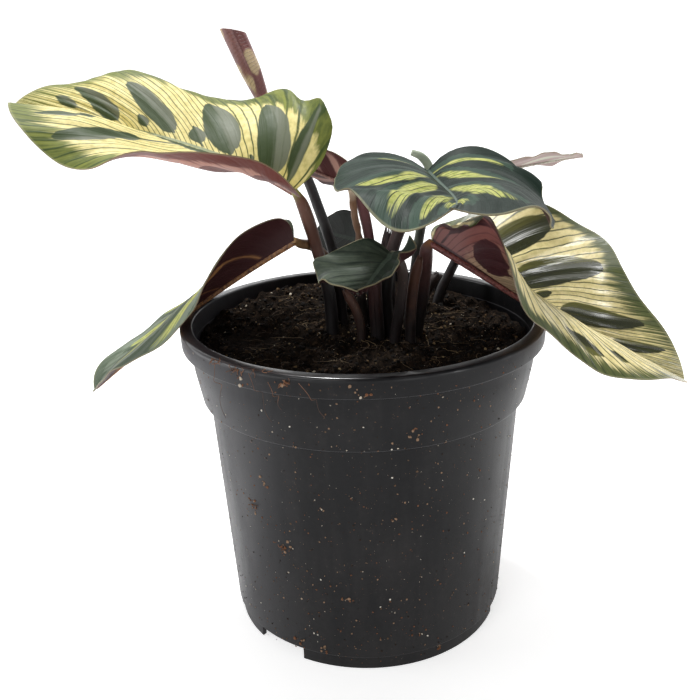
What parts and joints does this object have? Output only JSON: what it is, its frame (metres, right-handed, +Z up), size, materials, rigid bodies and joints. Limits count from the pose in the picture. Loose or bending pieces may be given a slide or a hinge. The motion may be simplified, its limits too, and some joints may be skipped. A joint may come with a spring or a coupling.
{
  "type": "potted peacock plant",
  "caption": "Peacock plant with broad patterned leaves on dark stalks, growing in soil in a black plastic nursery pot with a turned rim and a stepped band.",
  "frame": {"origin": "middle of the flat boss under the pot, on the pot's axis, in the plane of the foot ring", "axes": "+Z up along the pot's axis, -Y towards the side that the picture shows, +X to the viewer's right"},
  "size_m": [0.2834, 0.1748, 0.2488],
  "materials": {
    "pot": "black injection-moulded plastic, satin on the outside, dusty with potting soil",
    "soil": "damp dark peat with tan and white specks and fine roots",
    "leaf": "satin leaf, cream with green blotches and margin above, maroon below",
    "young_leaf": "satin young leaf, pinkish cream with maroon blotches",
    "stalk": "dark purple-brown stalk, finely hairy",
    "dry_stalk": "dry knobby brown stalk",
    "spear": "pale grey-green young spear",
    "sheath": "papery reddish-brown old sheath"
  },
  "bodies": {
    "root": {"pot": "pot", "soil": "soil", "left_leaf_blade": "leaf", "left_leaf_stalk": "stalk", "centre_leaf_blade": "leaf", "centre_leaf_stalk": "stalk", "right_leaf_blade": "leaf", "right_leaf_stalk": "stalk", "drooping_leaf_blade": "leaf", "drooping_leaf_stalk": "stalk", "front_leaf_blade": "leaf", "front_leaf_stalk": "stalk", "inner_leaf_blade": "young_leaf", "inner_leaf_stalk": "stalk", "back_leaf_blade": "young_leaf", "back_leaf_stalk": "stalk", "shaded_leaf_blade": "leaf", "shaded_leaf_stalk": "stalk", "rolled_leaf_blade": "young_leaf", "rolled_leaf_stalk": "stalk", "dry_stalk": "dry_stalk", "young_spear": "spear", "sheath_left": "sheath", "sheath_front": "sheath", "sheath_middle": "sheath", "sheath_right": "sheath", "sheath_back": "sheath"}
  },
  "joints": []
}
